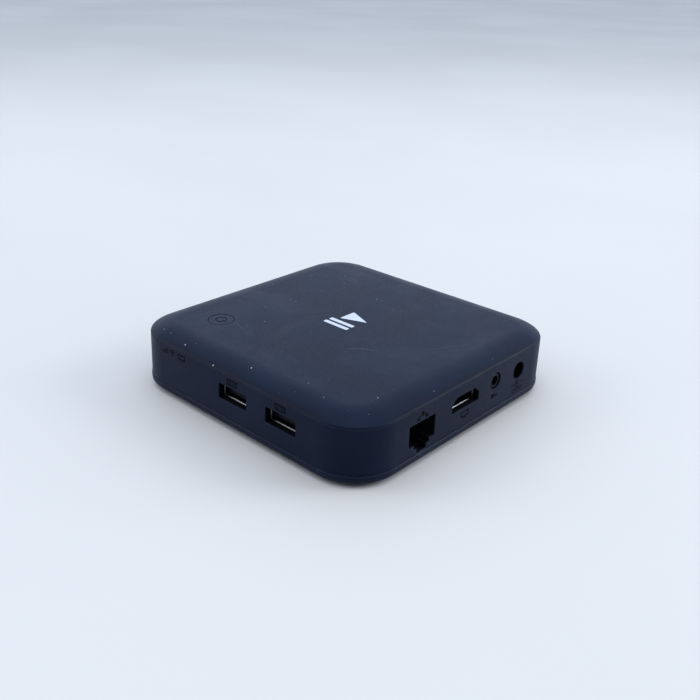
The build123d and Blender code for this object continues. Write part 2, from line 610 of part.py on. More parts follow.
def power_inductors():
    """Two moulded power inductors and a small one."""
    blocks = []
    for x, y, size, tall in ((-40.5, -6.5, 6.0, 3.0), (-31.0, 30.5, 5.0, 2.8), (35.0, -8.0, 4.0, 2.2)):
        body = block(x - size / 2, x + size / 2, y - size / 2, y + size / 2, BOARD_LOW - tall, BOARD_LOW)
        blocks.append(chamfer(body.edges().filter_by(Axis.Z), size * 0.16))
    return Compound(blocks)


def small_components():
    """Ceramic capacitors and resistors in short rows round the chips."""
    rows = [
        (-31.0, 14.0, 6, 1.9, 0), (-31.0, -19.5, 6, 1.9, 0), (19.5, 8.0, 5, 2.1, 0), (19.0, -14.0, 5, 2.1, 0),
        (-4.0, 30.0, 6, 2.0, 0), (34.0, 6.0, 4, 2.0, 90), (-47.0, -8.0, 5, 2.0, 90), (30.0, -22.0, 4, 2.0, 0),
    ]
    pieces = []
    for x, y, count, pitch, turn in rows:
        for index in range(count):
            along = index * pitch
            px, py = (x + along, y) if turn == 0 else (x, y + along)
            pieces.append(Pos(px, py, BOARD_LOW - 0.3) * Rot(Z=turn) * Box(0.9, 1.6, 0.6))
    return Compound(pieces)


def wireless_module():
    """Radio daughter board with its screening can and two snap-on aerial sockets."""
    x, y = -28.0, -38.0
    board = block(x - 7.5, x + 7.5, y - 6.5, y + 6.5, BOARD_LOW - 0.8, BOARD_LOW)
    can = block(x - 5.0, x + 5.0, y - 5.6, y + 5.6, BOARD_LOW - 2.8, BOARD_LOW - 0.8)
    can = fillet(can.faces().sort_by(Axis.Z)[0].edges(), 0.35)
    can -= rod(x - 3.6, y + 4.2, BOARD_LOW - 4, BOARD_LOW - 2.6, 0.5)
    sockets = [
        rod(x + side * 6.3, y + 2.0, BOARD_LOW - 1.7, BOARD_LOW - 0.8, 1.0) for side in (-1, 1)
    ]
    return board, can, Compound(sockets)


CABLE_R = 0.57
CABLE_LEVEL = BOARD_LOW - 1.7 - CABLE_R


def aerial_cables():
    """Two thin screened leads that run from the radio board to the aerials on the walls."""
    left = [(-34.3, -36.0), (-38.5, -33.0), (-43.5, -31.0), (-46.8, -25.5), (-47.4, -18.0), (-49.9, -12.0)]
    front = [(-21.7, -36.0), (-17.5, -37.0), (-15.2, -41.0), (-15.8, -46.0), (-17.5, -49.9)]
    made = []
    for route in (left, front):
        drop = CABLE_LEVEL
        points = [(x, y, drop - 0.55 * index) for index, (x, y) in enumerate(route)]
        path = FilletPolyline(*points, radius=2.0)
        made.append(sweep(Plane(origin=path @ 0, z_dir=path % 0) * Circle(CABLE_R), path=path))
    return made


def aerials():
    """Two stick-on aerial strips on the left and front walls."""
    left = block(-50.85, -50.4, -20.0, 14.0, 7.5, 15.0)
    front = block(-35.0, -14.0, -50.85, -50.4, 7.5, 15.0)
    return left, front


def service_header():
    """Four-pin test header between the network socket and the corner boss."""
    base = block(33.2, 35.7, 29.3, 39.4, BOARD_LOW - 2.5, BOARD_LOW)
    pins = None
    for index in range(4):
        y = 30.54 + 2.54 * index
        pin = Pos(34.45, y, (BOARD_LOW - 8.4 + BOARD_TOP + 1) / 2) * Box(0.6, 0.6, BOARD_TOP + 9.4 - BOARD_LOW)
        pins = pin if pins is None else pins + pin
    return base - pins, pins


# ---------------------------------------------------------------- assembly
parts["top_cover"] = upper_shell()
parts["base_cover"] = base_tray()
parts["front_window"] = front_window()
parts.update(feet())
parts["rating_label"] = block(-24.0, 24.0, -49.0, -37.0, BASE_Z + 0.05, BASE_Z + 0.25)
parts["housing_screws"] = Compound([
    upward_screw(x, y, SCREW_SEAT_Z, HOUSING_SCREW_R, HOUSING_SCREW_LENGTH, HOUSING_HEAD_R, HOUSING_HEAD_H)
    for x in (-BOSS_AT, BOSS_AT) for y in (-BOSS_AT, BOSS_AT)
])
parts["board_screws"] = Compound([
    upward_screw(x, y, BOARD_LOW, BOARD_SCREW_R, BOARD_SCREW_LENGTH, BOARD_HEAD_R, BOARD_HEAD_H)
    for x, y in BOARD_SCREW_AT
])

parts["power_button"] = power_button()
parts["power_switch_base"], parts["power_switch_plunger"] = power_switch()

for number, (y, z) in enumerate(DATA_PORTS, start=1):
    for name, solid in zip(("shell", "insulator", "contacts"), data_port()):
        parts[f"data_port_{number}_{name}"] = Pos(FACE, y, z) * Rot(Z=-90) * solid
for name, solid in zip(("shell", "insulator", "contacts"), video_port()):
    parts[f"video_port_{name}"] = solid
for name, solid in zip(("housing", "carrier", "contacts"), network_jack()):
    parts[f"network_jack_{name}"] = solid
for name, solid in zip(("body", "springs"), audio_jack()):
    parts[f"audio_jack_{name}"] = solid
for name, solid in zip(("body", "centre_pin", "sleeve_leaf"), power_jack()):
    parts[f"power_jack_{name}"] = solid

parts["processor_chip"] = chip(SINK_X, SINK_Y, 17.0, 17.0, 1.4)
parts["thermal_pad"] = block(SINK_X - 8.5, SINK_X + 8.5, SINK_Y - 8.5, SINK_Y + 8.5, SINK_TOP, BOARD_LOW - 1.4)
parts["heat_sink"] = heat_sink()
parts["heat_sink_pins"], parts["heat_sink_springs"] = sink_fixings()
parts["memory_chips"] = Compound([chip(-31.5, y, 9.0, 13.0, 1.0) for y in (-9.0, 6.0)])
parts["storage_chip"] = chip(24.5, -3.0, 11.5, 13.0, 1.0)
parts["regulator_chips"] = Compound([chip(x, y, 4.0, 4.0, 0.85, 0.3) for x, y in ((-38.0, 30.0), (33.0, -14.5))])
parts["network_transformer"] = network_transformer()
parts["capacitor_cans"], parts["capacitor_bases"] = electrolytic_capacitors()
parts["power_inductors"] = power_inductors()
parts["small_components"] = small_components()
crystal = extrude(Pos(5.0, 24.0, BOARD_LOW - 2.6) * SlotOverall(10.6, 4.4), 2.6)
parts["crystal"] = fillet(crystal.faces().sort_by(Axis.Z)[0].edges(), 0.4)
parts["wireless_board"], parts["wireless_can"], parts["aerial_sockets"] = wireless_module()
parts["aerial_cable_left"], parts["aerial_cable_front"] = aerial_cables()
parts["aerial_left"], parts["aerial_front"] = aerials()
parts["status_light"] = block(3.2, 5.2, -49.4, -48.2, BOARD_LOW - 4.5, BOARD_LOW)
receiver = block(-7.5, -2.5, -48.0, -44.2, BOARD_LOW - 7.0, BOARD_LOW)
parts["infrared_receiver"] = receiver + Pos(-5.0, -48.0, WINDOW_Z) * Sphere(1.6)
parts["service_header"], parts["service_header_pins"] = service_header()

crossing = [
    "data_port_1_shell", "data_port_1_contacts", "data_port_2_shell", "data_port_2_contacts",
    "video_port_shell", "network_jack_housing", "network_jack_contacts", "audio_jack_springs",
    "power_jack_centre_pin", "power_jack_sleeve_leaf", "heat_sink_pins", "service_header_pins",
]
parts["main_board"] = main_board([parts[name] for name in crossing])

for name, shape in parts.items():
    export_step(shape, f"parts/{name}.step")
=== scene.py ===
import json
from math import radians

import bmesh
import bpy
from mathutils import Matrix, Vector


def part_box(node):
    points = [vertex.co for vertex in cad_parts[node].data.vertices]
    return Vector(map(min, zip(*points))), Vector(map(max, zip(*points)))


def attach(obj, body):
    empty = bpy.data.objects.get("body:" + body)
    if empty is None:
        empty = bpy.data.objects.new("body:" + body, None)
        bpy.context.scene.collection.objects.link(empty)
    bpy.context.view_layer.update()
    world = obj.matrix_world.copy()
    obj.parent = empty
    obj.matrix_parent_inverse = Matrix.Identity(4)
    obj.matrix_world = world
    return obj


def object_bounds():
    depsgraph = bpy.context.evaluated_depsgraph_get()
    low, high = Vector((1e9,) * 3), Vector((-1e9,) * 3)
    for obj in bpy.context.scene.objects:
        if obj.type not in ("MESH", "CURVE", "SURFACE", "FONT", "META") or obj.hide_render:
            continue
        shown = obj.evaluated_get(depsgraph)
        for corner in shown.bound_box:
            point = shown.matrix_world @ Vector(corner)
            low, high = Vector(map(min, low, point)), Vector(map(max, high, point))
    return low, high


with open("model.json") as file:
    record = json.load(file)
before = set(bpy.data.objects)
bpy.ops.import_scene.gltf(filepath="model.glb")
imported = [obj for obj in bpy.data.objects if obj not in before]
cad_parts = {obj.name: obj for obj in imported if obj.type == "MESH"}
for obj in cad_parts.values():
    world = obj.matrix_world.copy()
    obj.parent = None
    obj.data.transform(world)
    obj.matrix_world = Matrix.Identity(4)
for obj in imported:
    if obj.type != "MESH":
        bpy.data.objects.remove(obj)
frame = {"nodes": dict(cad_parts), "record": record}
cadLow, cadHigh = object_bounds()
mm = 0.001
print("frame loaded:", len(frame["nodes"]), "nodes")


# small helpers for objects and node trees
def addObject(name, data):
    made = bpy.data.objects.new(name, data)
    bpy.context.scene.collection.objects.link(made)
    return made


def addNode(tree, kind, **settings):
    node = tree.nodes.new(kind)
    for key, value in settings.items():
        setattr(node, key, value)
    return node


def feed(tree, target, source):
    # source is a number, a vector or another socket
    if isinstance(source, bpy.types.NodeSocket):
        tree.links.new(source, target)
    else:
        target.default_value = source


def maths(tree, operation, a, b=None, clamp=False):
    node = addNode(tree, "ShaderNodeMath", operation=operation, use_clamp=clamp)
    feed(tree, node.inputs[0], a)
    if b is not None:
        feed(tree, node.inputs[1], b)
    return node.outputs[0]


def times(tree, first, *others):
    for other in others:
        first = maths(tree, "MULTIPLY", first, other)
    return first


def inverse(tree, value):
    return maths(tree, "SUBTRACT", 1.0, value)


def remap(tree, value, low, high, toLow=0.0, toHigh=1.0):
    node = addNode(tree, "ShaderNodeMapRange", interpolation_type="SMOOTHSTEP")
    feed(tree, node.inputs["Value"], value)
    limits = {"From Min": low, "From Max": high, "To Min": toLow, "To Max": toHigh}
    for label, limit in limits.items():
        feed(tree, node.inputs[label], limit)
    return node.outputs["Result"]


def blendColors(tree, amount, first, second):
    # on a colour mix, inputs 6 and 7 are the two colours and output 2 is the result
    node = addNode(tree, "ShaderNodeMix", data_type="RGBA")
    feed(tree, node.inputs[0], amount)
    for index, color in ((6, first), (7, second)):
        feed(tree, node.inputs[index], (*color, 1) if isinstance(color, tuple) else color)
    return node.outputs[2]


def noise(tree, vector, scale, detail=4.0, rough=0.5, distortion=0.0):
    node = addNode(tree, "ShaderNodeTexNoise")
    settings = {
        "Vector": vector, "Scale": scale, "Detail": detail, "Roughness": rough, "Distortion": distortion,
    }
    for label, value in settings.items():
        feed(tree, node.inputs[label], value)
    return node.outputs["Fac"]


def stretched(tree, vector, scale, turn=None):
    # a turn is made before the stretching
    if turn:
        turned = addNode(tree, "ShaderNodeMapping")
        feed(tree, turned.inputs["Vector"], vector)
        feed(tree, turned.inputs["Rotation"], turn)
        vector = turned.outputs["Vector"]
    node = addNode(tree, "ShaderNodeMapping")
    feed(tree, node.inputs["Vector"], vector)
    feed(tree, node.inputs["Scale"], scale)
    return node.outputs["Vector"]


def vectorMaths(tree, operation, *vectors):
    node = addNode(tree, "ShaderNodeVectorMath", operation=operation)
    for socket, vector in zip(node.inputs, vectors):
        feed(tree, socket, vector)
    return node.outputs


def splitAxes(tree, vector):
    node = addNode(tree, "ShaderNodeSeparateXYZ")
    feed(tree, node.inputs[0], vector)
    return node.outputs


def splitColor(tree, color):
    node = addNode(tree, "ShaderNodeSeparateColor")
    feed(tree, node.inputs[0], color)
    return node.outputs


def spanTo(tree, vector, point):
    # how far a place is from a point on the ground plane, given in millimetres
    return vectorMaths(tree, "DISTANCE", vector, (point[0] * mm, point[1] * mm, 0.0))["Value"]


# the camera, the light panels and the room round the box
cameraSet = {
    "place": (0.20506, 0.18003, 0.14161),
    "azimuth": 133.33,
    "elevation": 25.80,
    "roll": 1.45,
    "lens": 43.62,
    "shift": (0.0457, 0.0071),
}

lightSet = {  # name: place, aims at, width, height, watts, colour
    "ceilingPanel": ((0.36, 0.30, 1.5), (0.0, 0.0, 0.0), 1.4, 1.4, 9.5, (0.96, 0.98, 1.0)),
    "leftPanel": ((1.0, -1.1, 0.7), (0.0, 0.0, 0.02), 0.8, 0.8, 7.5, (0.90, 0.95, 1.0)),
    "rightPanel": ((-1.1, 1.0, 0.7), (0.0, 0.0, 0.02), 0.8, 0.8, 14.0, (0.90, 0.95, 1.0)),
}

roomSet = {  # the room is bright behind the box and dimmer on the near side
    "bright": (1.13, 1.30, 1.58), "dim": (0.10, 0.13, 0.20), "towards": (-0.62, -0.64, 0.30),
    "spread": 0.7, "backdrop": (0.60, 0.63, 0.68),
}


def placeCamera(settings):
    lens = bpy.data.cameras.new("studioCamera")
    lens.lens = settings["lens"]
    lens.shift_x, lens.shift_y = settings["shift"]
    lens.clip_start, lens.clip_end = 0.01, 20
    camera = addObject("studioCamera", lens)
    turn = (
        Matrix.Rotation(radians(settings["azimuth"]), 4, "Z")
        @ Matrix.Rotation(radians(90 - settings["elevation"]), 4, "X")
        @ Matrix.Rotation(radians(settings["roll"]), 4, "Z")
    )
    camera.matrix_world = Matrix.Translation(settings["place"]) @ turn
    bpy.context.scene.camera = camera


def hangLight(name, place, aim, width, height, watts, color):
    lamp = bpy.data.lights.new(name, "AREA")
    lamp.shape = "RECTANGLE"
    lamp.size, lamp.size_y = width, height
    lamp.energy, lamp.color = watts, color
    panel = addObject(name, lamp)
    panel.location = place
    panel.rotation_euler = (Vector(aim) - Vector(place)).to_track_quat("-Z", "Y").to_euler()


def lightRoom(settings):
    world = bpy.data.worlds.new("studioRoom")
    world.use_nodes = True
    tree = world.node_tree
    direction = addNode(tree, "ShaderNodeTexCoord").outputs["Generated"]
    ramp = addNode(tree, "ShaderNodeMapRange")
    towards = vectorMaths(tree, "DOT_PRODUCT", direction, settings["towards"])["Value"]
    feed(tree, ramp.inputs["Value"], towards)
    feed(tree, ramp.inputs["From Min"], -settings["spread"])
    feed(tree, ramp.inputs["From Max"], settings["spread"])
    around = blendColors(tree, ramp.outputs["Result"], settings["dim"], settings["bright"])
    # an even backdrop wherever the room itself shows
    direct = addNode(tree, "ShaderNodeLightPath").outputs["Is Camera Ray"]
    seen = blendColors(tree, direct, around, settings["backdrop"])
    feed(tree, tree.nodes["Background"].inputs["Color"], seen)
    bpy.context.scene.world = world
    bpy.context.scene.view_settings.view_transform = "Standard"


placeCamera(cameraSet)
lightRoom(roomSet)
for name, parts in lightSet.items():
    hangLight(name, *parts)
print("camera and lights placed")


# effects that several materials share, each built once
def startGroup(name, numbers, results):
    # an effect takes a place on the object and some numbers, each with its usual value
    group = bpy.data.node_groups.new(name, "ShaderNodeTree")
    group.interface.new_socket(name="Vector", in_out="INPUT", socket_type="NodeSocketVector")
    for label, value in numbers.items():
        socket = group.interface.new_socket(name=label, in_out="INPUT", socket_type="NodeSocketFloat")
        socket.default_value = value
    for label in results:
        group.interface.new_socket(name=label, in_out="OUTPUT", socket_type="NodeSocketFloat")
    return group, addNode(group, "NodeGroupInput").outputs, addNode(group, "NodeGroupOutput").inputs


def makeMouldGrain():
    # the fine spark-eroded skin of a moulding: soft pits with a little broad unevenness
    group, given, result = startGroup("mouldGrain", {"Scale": 2600.0}, ["Height", "Tone"])
    pits = addNode(group, "ShaderNodeTexVoronoi", feature="SMOOTH_F1")
    feed(group, pits.inputs["Vector"], given["Vector"])
    feed(group, pits.inputs["Scale"], given["Scale"])
    feed(group, pits.inputs["Smoothness"], 0.7)
    fine = noise(group, given["Vector"], times(group, given["Scale"], 0.6), 5.0, 0.6)
    broad = noise(group, given["Vector"], times(group, given["Scale"], 0.02), 3.0)
    feed(group, result["Height"], maths(group, "ADD", times(group, pits.outputs["Distance"], 0.6), fine))
    feed(group, result["Tone"], broad)
    return group


def makeDust():
    # separate specks, thicker in patches and only where the surface looks up
    group, given, result = startGroup("settledDust", {"Scale": 420.0, "Amount": 0.3}, ["Mask"])
    wander = noise(group, given["Vector"], 900.0, 2.0)
    bent = vectorMaths(group, "ADD", given["Vector"], times(group, wander, 0.0006))[0]
    cells = addNode(group, "ShaderNodeTexVoronoi", feature="F1")
    feed(group, cells.inputs["Vector"], bent)
    feed(group, cells.inputs["Scale"], given["Scale"])
    picked = splitColor(group, cells.outputs["Color"])
    size = maths(group, "ADD", times(group, picked[1], 0.09), 0.05)
    speck = inverse(group, remap(group, cells.outputs["Distance"], 0.01, size))
    kept = maths(group, "LESS_THAN", picked[0], given["Amount"])
    patches = remap(group, noise(group, given["Vector"], 45.0, 3.0), 0.38, 0.62, 0.35, 1.0)
    shape = addNode(group, "ShaderNodeNewGeometry")
    up = remap(group, splitAxes(group, shape.outputs["Normal"])["Z"], 0.1, 0.9)
    grain = times(group, speck, kept, patches)
    feed(group, result["Mask"], maths(group, "MULTIPLY", grain, up, clamp=True))
    return group


def makeScratches():
    # long hair-thin lines in two directions, broken up along their length
    group, given, result = startGroup("hairScratches", {"Scale": 60.0, "Amount": 0.5}, ["Mask"])
    total = 0.0
    for turn, width in ((0.5, 0.0035), (2.2, 0.0025)):
        along = stretched(group, given["Vector"], (0.03, 1.0, 0.03), (0.6, 0.3, turn))
        line = noise(group, along, given["Scale"], 1.0, 0.4)
        near = maths(group, "ABSOLUTE", maths(group, "SUBTRACT", line, 0.5))
        thin = inverse(group, remap(group, near, width * 0.4, width))
        gaps = remap(group, noise(group, given["Vector"], 38.0 + 9.0 * turn, 2.0), 0.56, 0.66)
        total = maths(group, "ADD", total, times(group, thin, gaps))
    feed(group, result["Mask"], maths(group, "MULTIPLY", total, given["Amount"], clamp=True))
    return group


def makeSmudges():
    # faint broad patches left by fingers
    group, given, result = startGroup("fingerSmudges", {"Scale": 40.0}, ["Mask"])
    cloud = noise(group, given["Vector"], given["Scale"], 4.0, 0.55, 1.2)
    ridges = noise(group, given["Vector"], times(group, given["Scale"], 9.0), 2.0)
    soft = remap(group, cloud, 0.42, 0.7)
    feed(group, result["Mask"], times(group, soft, remap(group, ridges, 0.3, 0.7, 0.6, 1.0)))
    return group


def makeEdgeRub():
    # brighter, smoother edges where hands and other things touch
    group, given, result = startGroup("edgeRub", {"Radius": 0.0003, "Amount": 0.6}, ["Mask"])
    rounded = addNode(group, "ShaderNodeBevel", samples=4)
    feed(group, rounded.inputs["Radius"], given["Radius"])
    shape = addNode(group, "ShaderNodeNewGeometry")
    normals = (rounded.outputs["Normal"], shape.outputs["Normal"])
    edge = remap(group, vectorMaths(group, "DOT_PRODUCT", *normals)["Value"], 0.995, 0.86)
    broken = remap(group, noise(group, given["Vector"], 700.0, 4.0), 0.35, 0.65, 0.25, 1.0)
    mask = maths(group, "MULTIPLY", times(group, edge, broken), given["Amount"], clamp=True)
    feed(group, result["Mask"], mask)
    return group


effects = {
    "grain": makeMouldGrain(),
    "dust": makeDust(),
    "scratches": makeScratches(),
    "smudges": makeSmudges(),
    "edgeRub": makeEdgeRub(),
}
print("effect groups made:", ", ".join(effects))


def useEffect(tree, name, vector, **values):
    node = addNode(tree, "ShaderNodeGroup", node_tree=effects[name])
    feed(tree, node.inputs["Vector"], vector)
    for label, value in values.items():
        feed(tree, node.inputs[label], value)
    return node.outputs


def startMaterial(name):
    material = bpy.data.materials.new(name)
    material.use_nodes = True
    tree = material.node_tree
    place = addNode(tree, "ShaderNodeTexCoord").outputs["Object"]
    return material, tree, tree.nodes["Principled BSDF"], place


def addBump(tree, shader, height, strength, distance):
    bump = addNode(tree, "ShaderNodeBump")
    feed(tree, bump.inputs["Height"], height)
    feed(tree, bump.inputs["Strength"], strength)
    feed(tree, bump.inputs["Distance"], distance)
    feed(tree, shader.inputs["Normal"], bump.outputs["Normal"])


# masks laid out by place on the object, in millimetres
def cutOutMask(tree, place, settings):
    # a near-black tint on the sides of the socket openings, standing in for their deep shade
    axes = splitAxes(tree, vectorMaths(tree, "ABSOLUTE", place)[0])
    across = maths(tree, "MAXIMUM", axes["X"], axes["Y"])
    along = maths(tree, "MINIMUM", axes["X"], axes["Y"])
    inside = remap(tree, across, settings["wall"] * mm, (settings["wall"] - settings["fade"]) * mm)
    flat = maths(tree, "LESS_THAN", along, settings["flatTo"] * mm)
    low = maths(tree, "LESS_THAN", axes["Z"], settings["under"] * mm)
    return times(tree, inside, times(tree, flat, low))


def recessShadeMask(tree, place, settings):
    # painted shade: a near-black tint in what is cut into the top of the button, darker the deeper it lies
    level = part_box("power_button")[1].z
    high, low = level - settings["above"] * mm, level - settings["below"] * mm
    return remap(tree, splitAxes(tree, place)["Z"], high, low)


def scratchMask(tree, place, arcs):
    # single scratches, each along part of a circle
    flat = stretched(tree, place, (1.0, 1.0, 0.0))
    total = 0.0
    for x, y, radius, half, middle, reach in arcs:
        line = maths(tree, "ABSOLUTE", maths(tree, "SUBTRACT", spanTo(tree, flat, (x, y)), radius * mm))
        thin = inverse(tree, remap(tree, line, half * 0.3 * mm, half * mm))
        part = inverse(tree, remap(tree, spanTo(tree, flat, middle), reach * 0.6 * mm, reach * mm))
        broken = remap(tree, noise(tree, place, 1800.0, 3.0), 0.40, 0.60, 0.3, 1.0)
        total = maths(tree, "ADD", total, times(tree, thin, part, broken))
    return total


def speckMask(tree, place, specks):
    # single specks of lint on the crown
    flat = stretched(tree, place, (1.0, 1.0, 0.0))
    bent = vectorMaths(tree, "ADD", flat, times(tree, noise(tree, place, 1500.0, 2.0), 0.0002))[0]
    total = 0.0
    for x, y, radius in specks:
        dot = remap(tree, spanTo(tree, bent, (x, y)), radius * 0.5 * mm, radius * mm)
        total = maths(tree, "ADD", total, inverse(tree, dot))
    return total


def lipMask(tree, place, settings):
    # a light tint on the rounded lip, standing in for the glint that a sharper lip would catch
    height = splitAxes(tree, place)["Z"]
    low, peak, high = [level * mm for level in settings["levels"]]
    band = times(tree, remap(tree, height, low, peak), remap(tree, height, high, peak))
    return times(tree, band, remap(tree, noise(tree, place, 60.0, 3.0), 0.3, 0.7, 0.4, 1.0))


def rollShadeMask(tree, place, settings):
    # painted shade: a dark tint on the crown's rolled edge, standing in for the shade that a steeper roll along
    # the straight sides would give
    axes = splitAxes(tree, vectorMaths(tree, "ABSOLUTE", place)[0])
    along = maths(tree, "MINIMUM", axes["X"], axes["Y"])
    above = remap(tree, axes["Z"], settings["top"] * mm, settings["low"] * mm)
    level = times(tree, above, maths(tree, "GREATER_THAN", axes["Z"], settings["crease"] * mm))
    ends = remap(tree, along, settings["ends"][1] * mm, settings["ends"][0] * mm)
    return times(tree, level, ends, settings["amount"])


# moulded plastic: the shells, the button, the sockets and small mouldings
usualPlastic = {  # what a look has unless it says otherwise
    "gloss": 0.4, "bumpDepth": 0.00003, "smudgeScale": 40.0, "smudgeTint": 0.35,
    "rubWidth": 0.0003, "rubPolish": 0.12, "dustOpacity": 0.5, "dustRough": 0.3,
    "dustColor": (0.42, 0.45, 0.50), "cutOutRough": 0.4,
}


def mouldedPlastic(name, ownLook):
    look = {**usualPlastic, **ownLook}
    material, tree, shader, place = startMaterial(name)
    grain = useEffect(tree, "grain", place, Scale=look["grainScale"])
    tone = remap(tree, grain["Tone"], 0.35, 0.65)
    color = blendColors(tree, tone, look["dark"], look["light"])
    smoothest, roughest = look["rough"] - look["roughSpread"], look["rough"] + look["roughSpread"]
    rough = remap(tree, grain["Height"], 0.3, 1.0, smoothest, roughest)
    if "smudge" in look:
        smudge = useEffect(tree, "smudges", place, Scale=look["smudgeScale"])["Mask"]
        rough = maths(tree, "SUBTRACT", rough, times(tree, smudge, look["smudge"]))
        color = blendColors(tree, times(tree, smudge, look["smudgeTint"]), color, look["light"])
    if "scratch" in look:
        scratch = useEffect(tree, "scratches", place, Amount=look["scratch"])["Mask"]
        color = blendColors(tree, scratch, color, look["worn"])
    if "rub" in look:
        rub = useEffect(tree, "edgeRub", place, Amount=look["rub"], Radius=look["rubWidth"])["Mask"]
        color = blendColors(tree, rub, color, look["worn"])
        rough = maths(tree, "SUBTRACT", rough, times(tree, rub, look["rubPolish"]))
    if "dust" in look:
        dust = useEffect(tree, "dust", place, Amount=look["dust"], Scale=look["dustScale"])["Mask"]
        color = blendColors(tree, times(tree, dust, look["dustOpacity"]), color, look["dustColor"])
        rough = maths(tree, "ADD", rough, times(tree, dust, look["dustRough"]), clamp=True)
    for tint, mask in (("recessShade", recessShadeMask), ("roll", rollShadeMask), ("lip", lipMask)):
        if tint in look:
            color = blendColors(tree, mask(tree, place, look[tint]), color, look[tint]["color"])
    if "lint" in look:
        lint = look["lint"]
        color = blendColors(tree, scratchMask(tree, place, lint["arcs"]), color, look["worn"])
        color = blendColors(tree, speckMask(tree, place, lint["specks"]), color, lint["color"])
    if "cutOut" in look:
        hidden = cutOutMask(tree, place, look["cutOut"])
        color = blendColors(tree, hidden, color, look["cutOut"]["color"])
        rough = maths(tree, "ADD", rough, times(tree, hidden, look["cutOutRough"]), clamp=True)
    feed(tree, shader.inputs["Base Color"], color)
    feed(tree, shader.inputs["Roughness"], rough)
    feed(tree, shader.inputs["Specular IOR Level"], look["gloss"])
    addBump(tree, shader, grain["Height"], look["bump"], look["bumpDepth"])
    return material


